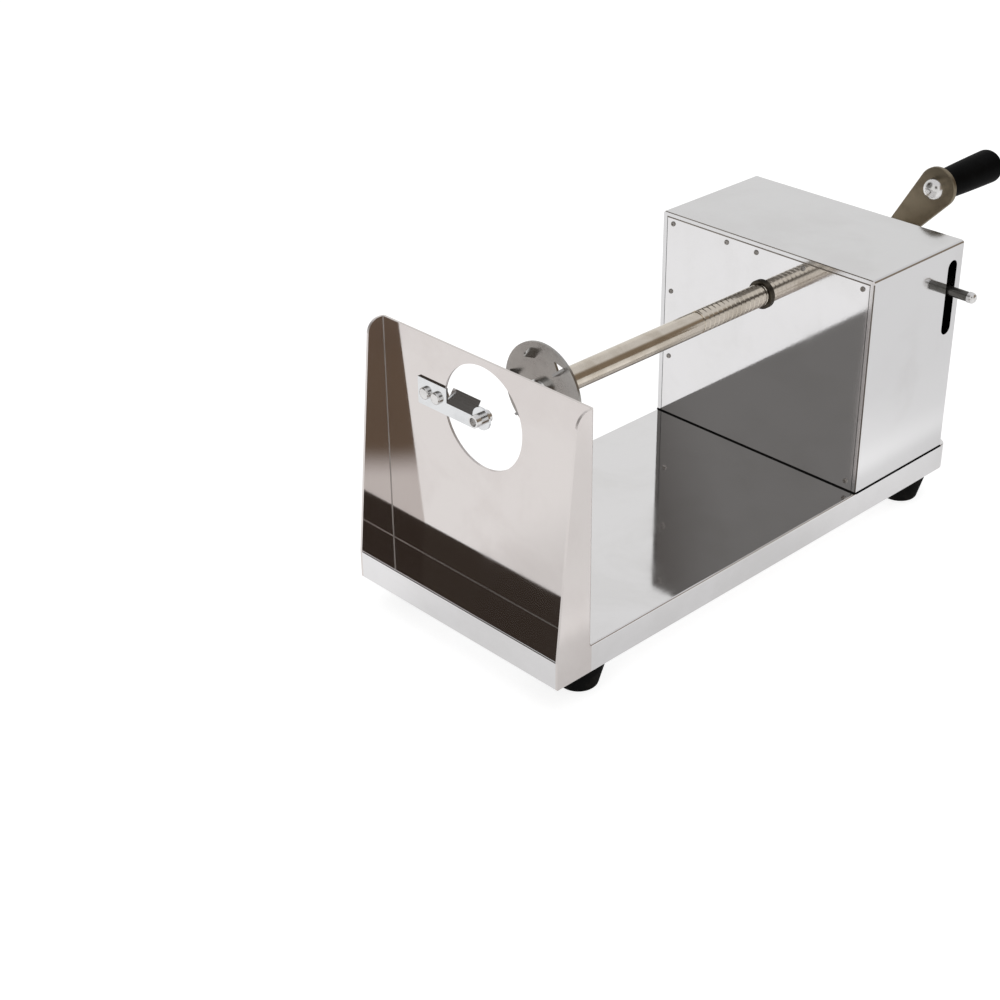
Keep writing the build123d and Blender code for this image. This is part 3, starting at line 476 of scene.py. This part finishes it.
# shadow_steel is painted shade: the darker steel of the blade stand's inside folds.
shadow_steel = metal(
    "shadow_steel", (0.40, 0.37, 0.35), (0.34, 0.31, 0.29), 0.30, 0.08, (300, 300, 300), 0.03, 60.0
)
# Painted shade: the dark steel of the thin shadow lines at the box's bends and joints.
shadow_line_steel = metal(
    "shadow_line_steel", (0.24, 0.215, 0.19), (0.18, 0.16, 0.14), 0.30, 0.08, (300, 300, 300), 0.03, 60.0
)
brass = metal(
    "brass", (0.86, 0.66, 0.32), (0.78, 0.58, 0.27), 0.20, 0.10, (80, 1200, 80), 0.08, 70.0
)
print("materials so far:", len(bpy.data.materials))

# %% [markdown]
# Rubber and moulded plastic scatter light instead of mirroring it.  Both get a fine
# pebble in their roughness and height, and clouds of a slightly paler black.  Their
# sheen is far below that of a glossy plastic, because both are matt and nearly black.

# %% Rubber and plastic
moulded_relief = 0.3 * MM
pebble_spread = 0.25
dust_scale = 120.0


def moulded(name, colour, dusty, roughness, grain, bump, sheen):
    """A matt rubber or plastic, with grain pebbles to the metre."""
    material = bpy.data.materials.new(name)
    material.use_nodes = True
    tree = material.node_tree
    shader = tree.nodes["Principled BSDF"]
    place = add(tree, "ShaderNodeTexCoord", (-1000, 0))
    mapping = add(tree, "ShaderNodeMapping", (-800, -150))
    mapping.inputs["Scale"].default_value = (grain, grain, grain)
    tree.links.new(place.outputs["Object"], mapping.inputs["Vector"])
    marks = add(tree, "ShaderNodeGroup", (-600, -150), node_tree=fine_marks)
    marks.inputs["Roughness"].default_value = roughness
    marks.inputs["Spread"].default_value = pebble_spread
    tree.links.new(mapping.outputs["Vector"], marks.inputs["Vector"])
    touch = add(tree, "ShaderNodeGroup", (-600, 150), node_tree=smears)
    touch.inputs["Scale"].default_value = dust_scale
    touch.inputs["Clean"].default_value = (*colour, 1)
    touch.inputs["Touched"].default_value = (*dusty, 1)
    tree.links.new(place.outputs["Object"], touch.inputs["Vector"])
    relief = add(tree, "ShaderNodeBump", (-350, -250))
    relief.inputs["Strength"].default_value = bump
    relief.inputs["Distance"].default_value = moulded_relief
    tree.links.new(marks.outputs["Height"], relief.inputs["Height"])
    tree.links.new(touch.outputs["Color"], shader.inputs["Base Color"])
    tree.links.new(marks.outputs["Roughness"], shader.inputs["Roughness"])
    tree.links.new(relief.outputs["Normal"], shader.inputs["Normal"])
    shader.inputs["Specular IOR Level"].default_value = sheen
    return material


foot_rubber = moulded(
    "foot_rubber", (0.006, 0.006, 0.006), (0.012, 0.011, 0.010), 0.70, 1400, 0.25, 0.02
)
grip_plastic = moulded(
    "grip_plastic", (0.002, 0.002, 0.002), (0.003, 0.003, 0.003), 0.50, 2200, 0.12, 0.02
)
print("materials:", len(bpy.data.materials))

# %% [markdown]
# The CAD nodes already have the right shapes, so most of them only need their finish.
# The table below reads as a parts list: each finish and the pieces that have it.  A
# node's own material slots are overwritten, and its mesh is left as it is.

# %% Finish the CAD nodes
finishes = {
    polished_sheet: ["base_pan", "front_panel", "back_panel"],
    stand_sheet: ["blade_stand"],
    cover_sheet: ["gearbox_cover"],
    turned_shaft: ["feed_shaft", "return_spring", "pivot_spacer"],
    dark_bar: ["crank_arm", "half_nut_arm"],
    lever_steel: ["lever_rod"],
    nickel: [
        "foot_screws", "foot_nuts", "skewer_guide", "blade_screws", "blade_nuts", "cover_screws",
        "front_panel_screws", "back_panel_screws", "front_bush_nut", "rear_bush_clip",
        "pivot_bolt", "pivot_nut", "half_nut_screws", "lever_tip", "fork_hub",
        "crank_nut", "grip_bolt", "grip_washer", "grip_nut",
    ],
    blade_steel: ["spiral_blade"],
    oiled_steel: ["front_bush", "rear_bush"],
    pressed_steel: ["fork_disc"],
    brass: ["half_nut"],
    foot_rubber: [
        "base_gasket", "buffer_ring", "foot_front_left", "foot_front_right",
        "foot_rear_left", "foot_rear_right",
    ],
    grip_plastic: ["grip"],
}
for material, names in finishes.items():
    for name in names:
        node = nodes[name]
        node.data.materials.clear()
        node.data.materials.append(material)
print("finished:", sum(len(names) for names in finishes.values()), "of", len(nodes))

# %% [markdown]
# Small helpers turn a bmesh into a piece of the machine.  The mesh is built where the
# piece belongs, so the object itself stays at the origin, and edges sharper than 35
# degrees stay crisp while the rest is shaded smooth.

# %% Helpers for new pieces
crisp_degrees = 35


def smooth_by_angle(bm):
    """Smooth shading that leaves the sharper edges crisp."""
    for face in bm.faces:
        face.smooth = True
    for edge in bm.edges:
        angle = edge.calc_face_angle(0)
        edge.smooth = len(edge.link_faces) == 2 and angle < radians(crisp_degrees)


def make_piece(name, bm, body, material, stands_for=()):
    """Hang a finished bmesh on a CAD body as a named piece."""
    bmesh.ops.remove_doubles(bm, verts=bm.verts, dist=0.001 * MM)
    bmesh.ops.recalc_face_normals(bm, faces=bm.faces)
    smooth_by_angle(bm)
    mesh = bpy.data.meshes.new(name)
    bm.to_mesh(mesh)
    bm.free()
    mesh.materials.append(material)
    piece = bpy.data.objects.new(name, mesh)
    bpy.context.scene.collection.objects.link(piece)
    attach(piece, body)
    if stands_for:
        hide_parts(*stands_for)
    print(name, len(mesh.polygons), "faces")
    return piece


def turned(profile, steps=48):
    """A closed solid of revolution about Z from (radius, height) points, axis to axis."""
    bm = bmesh.new()
    points = [bm.verts.new((radius, 0, height)) for radius, height in profile]
    edges = [bm.edges.new(pair) for pair in zip(points, points[1:])]
    bmesh.ops.spin(
        bm,
        geom=points + edges,
        cent=(0, 0, 0),
        axis=(0, 0, 1),
        angle=tau,
        steps=steps,
        use_merge=True,
    )
    bmesh.ops.remove_doubles(bm, verts=bm.verts, dist=0.0001 * MM)
    bmesh.ops.recalc_face_normals(bm, faces=bm.faces)
    return bm


print("helpers ready, crisp edges from", crisp_degrees, "degrees")

# %% [markdown]
# The feed shaft's back half carries a 4 mm thread that engages the half-nut.  A stack of
# rings would look right from far away, but a real thread climbs, so one tooth's
# profile is spun round the axis while it moves one pitch along at every turn.  The spin
# starts a pitch too early and ends too late, and two planes cut its raw ends square.

# %% Threaded feed shaft
shaft_low, shaft_high = (Vector(corner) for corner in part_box("feed_shaft"))
axis_point = (shaft_low + shaft_high) / 2
shaft_radius = (shaft_high.x - shaft_low.x) / 2
pitch = 4.0 * MM
tooth_depth = 0.35 * MM
flank_length = 0.35 * MM
half_root = 0.15 * MM
root_radius = shaft_radius - tooth_depth
thread_setback = 194.6 * MM
buffer_seat = 5.6 * MM
thread_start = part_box("base_pan")[0][1] + thread_setback
journal_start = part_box("crank_arm")[0][1] - buffer_seat
turns = int((journal_start - thread_start) / pitch) + 3
steps_per_turn = 20

thread = bmesh.new()
tooth_profile = [
    (root_radius, 0.0),
    (root_radius, half_root),
    (shaft_radius, half_root + flank_length),
    (shaft_radius, pitch - half_root - flank_length),
    (root_radius, pitch - half_root),
    (root_radius, pitch),
]
tooth = [
    thread.verts.new((axis_point.x + radius, thread_start - pitch + along, axis_point.z))
    for radius, along in tooth_profile
]
tooth_edges = [thread.edges.new(pair) for pair in zip(tooth, tooth[1:])]
bmesh.ops.spin(
    thread,
    geom=tooth + tooth_edges,
    cent=axis_point,
    axis=(0, -1, 0),
    dvec=(0, pitch / steps_per_turn, 0),
    angle=tau * turns,
    steps=turns * steps_per_turn,
)
bmesh.ops.remove_doubles(thread, verts=thread.verts, dist=0.002 * MM)
for cut_at, outward in ((thread_start, -1), (journal_start, 1)):
    cut = bmesh.ops.bisect_plane(
        thread,
        geom=thread.verts[:] + thread.edges[:] + thread.faces[:],
        dist=0.001 * MM,
        plane_co=(0, cut_at, 0),
        plane_no=(0, outward, 0),
        clear_outer=True,
    )
    rim = [edge for edge in cut["geom_cut"] if isinstance(edge, bmesh.types.BMEdge)]
    bmesh.ops.holes_fill(thread, edges=rim, sides=0)
make_piece("feed_shaft_thread", thread, "spindle", turned_shaft, ["feed_shaft"])

# %% [markdown]
# The rest of the shaft was turned on a lathe: a smooth front part that ends in a groove
# where the thread begins, and a thinner tail that carries the crank.  A cylinder would
# need a cut for every step, so each part is half an outline that is spun about its axis.

# %% Plain ends of the feed shaft
def laid_along_y(bm, place):
    """Turn a piece made about Z so that its axis points to +Y, and put it in place."""
    bmesh.ops.rotate(bm, verts=bm.verts, cent=(0, 0, 0), matrix=Matrix.Rotation(-pi / 2, 3, "X"))
    bmesh.ops.translate(bm, verts=bm.verts, vec=place)
    return bm


front_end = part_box("feed_shaft")[0][1]
relief_depth = 0.5 * MM
relief_width = 1.6 * MM
smooth_length = thread_start - relief_width - front_end
edge_break = 0.3 * MM
plain = turned([
    (0, 0),
    (shaft_radius - edge_break, 0),
    (shaft_radius, edge_break),
    (shaft_radius, smooth_length - edge_break),
    (shaft_radius - relief_depth, smooth_length),
    (shaft_radius - relief_depth, smooth_length + relief_width),
    (0, smooth_length + relief_width),
])
laid_along_y(plain, (axis_point.x, front_end, axis_point.z))
make_piece("feed_shaft_plain", plain, "spindle", turned_shaft)

journal_radius = 6.0 * MM
spigot_radius = 4.5 * MM
crank_low_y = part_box("crank_arm")[0][1]
tail_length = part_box("feed_shaft")[1][1] - journal_start
tail = turned([
    (0, 0),
    (journal_radius, 0),
    (journal_radius, crank_low_y - journal_start),
    (spigot_radius, crank_low_y - journal_start),
    (spigot_radius, tail_length - edge_break),
    (spigot_radius - edge_break, tail_length),
    (0, tail_length),
])
laid_along_y(tail, (axis_point.x, journal_start, axis_point.z))
make_piece("feed_shaft_tail", tail, "spindle", turned_shaft)

# %% [markdown]
# The box's panels are held by small pan-head screws with a cross recess.  The head is
# drawn as a five by five sheet: its middle cross is pushed in for the driver, its rim is
# pulled onto a circle and turned down to the panel.  A subdivision rounds the rest.  The
# sizes are shares of the head's radius and height, which scale the finished head.

# %% Pan-head screw
cells = 5
arm_half_width = 0.17
arm_length = 0.52
crown_radius = 0.82
shoulder_drop = 0.55
recess_lip = 0.03
recess_depth = 0.45
recess_taper = 0.8


def pan_head(radius, height):
    """A round head that faces +Z and stands on z = 0, with a cross-shaped recess."""
    bm = bmesh.new()
    bmesh.ops.create_grid(bm, x_segments=cells, y_segments=cells, size=1)
    stations = (-1.0, -arm_length, -arm_half_width, arm_half_width, arm_length, 1.0)
    for vert in bm.verts:
        column = round((vert.co.x + 1) / 2 * cells)
        row = round((vert.co.y + 1) / 2 * cells)
        vert.co.x = stations[column]
        vert.co.y = stations[row]
        if vert.is_boundary:
            vert.co = vert.co.normalized() * crown_radius
    cross = []
    for face in bm.faces:
        middle = face.calc_center_median()
        if min(abs(middle.x), abs(middle.y)) < arm_half_width and middle.length < arm_length:
            cross.append(face)
    rim = [edge for edge in bm.edges if edge.is_boundary]
    sides = bmesh.ops.extrude_edge_only(bm, edges=rim)["geom"]
    outer = [item for item in sides if isinstance(item, bmesh.types.BMVert)]
    for vert in outer:
        vert.co = Vector((vert.co.x, vert.co.y, 0)).normalized()
        vert.co.z = -shoulder_drop
    lower = [
        edge for edge in sides
        if isinstance(edge, bmesh.types.BMEdge) and all(vert in outer for vert in edge.verts)
    ]
    skirt = bmesh.ops.extrude_edge_only(bm, edges=lower)["geom"]
    for item in skirt:
        if isinstance(item, bmesh.types.BMVert):
            item.co.z = -1.0
    bmesh.ops.inset_region(bm, faces=cross, thickness=recess_lip, depth=0)
    floor_faces = bmesh.ops.extrude_face_region(bm, geom=cross)["geom"]
    floor_verts = [item for item in floor_faces if isinstance(item, bmesh.types.BMVert)]
    bmesh.ops.delete(bm, geom=cross, context="FACES_ONLY")
    for vert in floor_verts:
        vert.co.x *= recess_taper
        vert.co.y *= recess_taper
        vert.co.z -= recess_depth
    bmesh.ops.recalc_face_normals(bm, faces=bm.faces)
    bmesh.ops.translate(bm, verts=bm.verts, vec=(0, 0, 1))
    bmesh.ops.scale(bm, verts=bm.verts, vec=(radius, radius, height))
    return bm


# %% [markdown]
# The CAD has all the screws of a panel as one piece, so their heads are gathered into one
# mesh too.  A driver never stops twice at the same turn: each head is turned further
# than the last one, and no two recesses in a row catch the light alike.

# %% Screws of the two panels
def gather(parts):
    """Several bmeshes joined into one."""
    whole = bmesh.new()
    for part in parts:
        carrier = bpy.data.meshes.new("carrier")
        part.to_mesh(carrier)
        part.free()
        whole.from_mesh(carrier)
        bpy.data.meshes.remove(carrier)
    return whole


def facing(bm, place, outward, spin_degrees):
    """Turn a head that faces +Z so that it faces outward, and put it in place."""
    bmesh.ops.rotate(
        bm, verts=bm.verts, cent=(0, 0, 0), matrix=Matrix.Rotation(radians(spin_degrees), 3, "Z")
    )
    turn = Vector((0, 0, 1)).rotation_difference(Vector(outward)).to_matrix()
    bmesh.ops.rotate(bm, verts=bm.verts, cent=(0, 0, 0), matrix=turn)
    bmesh.ops.translate(bm, verts=bm.verts, vec=place)
    return bm


def heads(name, places, face_y, outward, first_turn, turn_step, stands_for):
    """The heads of one panel's screws, as a piece that a subdivision rounds."""
    placed = []
    for count, (x, z) in enumerate(places):
        head = pan_head(head_radius, head_height)
        turn = first_turn + turn_step * count
        placed.append(facing(head, (mid_x + x, face_y, z), outward, turn))
    piece = make_piece(name, gather(placed), "frame", screw_steel, stands_for)
    smoothing = piece.modifiers.new("smoothing", "SUBSURF")
    smoothing.levels = 2
    smoothing.render_levels = 2


head_radius = 1.6 * MM
head_height = 0.9 * MM
mid_x = axis_point.x
deck_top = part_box("base_pan")[1][2]
top_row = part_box("gearbox_cover")[1][2] - 7 * MM
side, middle, off_centre = 72 * MM, 29 * MM, 6 * MM
row_step = 45 * MM
front_places = [
    (-side, top_row), (-middle, top_row), (-off_centre, top_row), (middle, top_row), (side, top_row),
    (-side, top_row - row_step), (-side, top_row - 2 * row_step), (side, deck_top + 6 * MM),
]
back_places = [(sign * side, top_row - row * row_step) for sign in (-1, 1) for row in range(3)]
panel_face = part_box("front_panel")[0][1]
back_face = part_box("back_panel")[1][1]
heads(
    "front_screw_heads", front_places, panel_face, (0, -1, 0), 17, 37, ["front_panel_screws"]
)
heads("back_screw_heads", back_places, back_face, (0, 1, 0), 8, 53, ["back_panel_screws"])

# %% [markdown]
# The stand is one folded sheet.  The CAD corners are sharp, while a folded corner is a
# small hollow round.  Its steel is darker than the sheet, a painted shade for the inside
# corner, and it reads as a thin line up the gussets and along the deck.

# %% Folds of the blade stand
def hollow_corner(corner, first, second, radius, run, steps=6):
    """A strip that rounds an inside corner between two directions, drawn out along run."""
    bm = bmesh.new()
    centre = Vector(corner) + (Vector(first) + Vector(second)) * radius
    outline = [bm.verts.new(corner)]
    for step in range(steps + 1):
        angle = step / steps * pi / 2
        reach = Vector(first) * sin(angle) + Vector(second) * cos(angle)
        outline.append(bm.verts.new(centre - reach * radius))
    strip_end = bm.faces.new(outline)
    drawn = bmesh.ops.extrude_face_region(bm, geom=[strip_end])["geom"]
    far = [item for item in drawn if isinstance(item, bmesh.types.BMVert)]
    bmesh.ops.translate(bm, verts=far, vec=run)
    return bm


left, right, up = (-1, 0, 0), (1, 0, 0), (0, 0, 1)
to_front, to_back = (0, -1, 0), (0, 1, 0)
sheet_thickness = 1.5 * MM
inner_half = 78.5 * MM
fold_radius = 0.5 * MM
plate_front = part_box("blade_stand")[1][1] - sheet_thickness
rise = (0, 0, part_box("blade_stand")[1][2] - deck_top)
left_foot = (mid_x - inner_half, plate_front, deck_top)
right_foot = (mid_x + inner_half, plate_front, deck_top)
folds = gather([
    hollow_corner(left_foot, to_front, up, fold_radius, (2 * inner_half, 0, 0)),
    hollow_corner(left_foot, right, to_front, fold_radius, rise),
    hollow_corner(right_foot, left, to_front, fold_radius, rise),
])
make_piece("stand_folds", folds, "frame", shadow_steel)

# %% [markdown]
# Where the box stands on the deck, a thin black bead runs all round, a painted shade for
# the dark gap under the box's edge.  It is the same hollow round as a fold, only black, and its four
# runs meet at the corners.

# %% Painted shade round the box
cover_low, cover_high = (Vector(corner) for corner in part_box("gearbox_cover"))
bead_radius = 0.9 * MM
width_run = cover_high.x - cover_low.x
depth_run = cover_high.y - cover_low.y
bead_runs = [  # where a run starts, which way it swells, and where it goes
    ((cover_low.x, cover_low.y, deck_top), to_front, (width_run, 0, 0)),
    ((cover_low.x, cover_high.y, deck_top), to_back, (width_run, 0, 0)),
    ((cover_low.x, cover_low.y, deck_top), left, (0, depth_run, 0)),
    ((cover_high.x, cover_low.y, deck_top), right, (0, depth_run, 0)),
]
crease_shade = gather([
    hollow_corner(start, outward, up, bead_radius, run) for start, outward, run in bead_runs
])
make_piece("box_shadow_bead", crease_shade, "frame", foot_rubber)

# %% [markdown]
# The cover's bends and the joints round its front panel read as thin dark lines of shade.
# Each is painted shade: a hair-thin strip of dark metal laid in its corner.

# %% Dark lines of the box
def strip(low, high):
    """A thin box between two corners."""
    bm = bmesh.new()
    bmesh.ops.create_cube(bm, size=1)
    low, high = Vector(low), Vector(high)
    bmesh.ops.scale(bm, verts=bm.verts, vec=high - low)
    bmesh.ops.translate(bm, verts=bm.verts, vec=(low + high) / 2)
    return bm


proud = 0.08 * MM
line_width = 0.7 * MM
joint_width = 0.8 * MM
lip_width = 3.0 * MM
bend_inset = 1.5 * MM
bend_drop = 2.5 * MM
mouth_y = cover_low.y
lip_edge = cover_high.z - lip_width
top_line = strip(
    (cover_low.x + bend_inset, mouth_y - proud, cover_high.z - line_width),
    (cover_high.x - bend_inset, mouth_y + proud, cover_high.z - proud),
)
lip_joint = strip(
    (cover_low.x + lip_width - proud, mouth_y - proud, lip_edge - joint_width + proud),
    (cover_high.x - lip_width + proud, mouth_y + 3 * proud, lip_edge + proud),
)
side_line = strip(
    (cover_high.x - line_width, mouth_y - proud, deck_top + bead_radius),
    (cover_high.x + proud, mouth_y + 3 * proud, cover_high.z - bend_drop),
)
shadow_strips = gather([top_line, lip_joint, side_line])
make_piece("cover_shadow_lines", shadow_strips, "frame", shadow_line_steel)
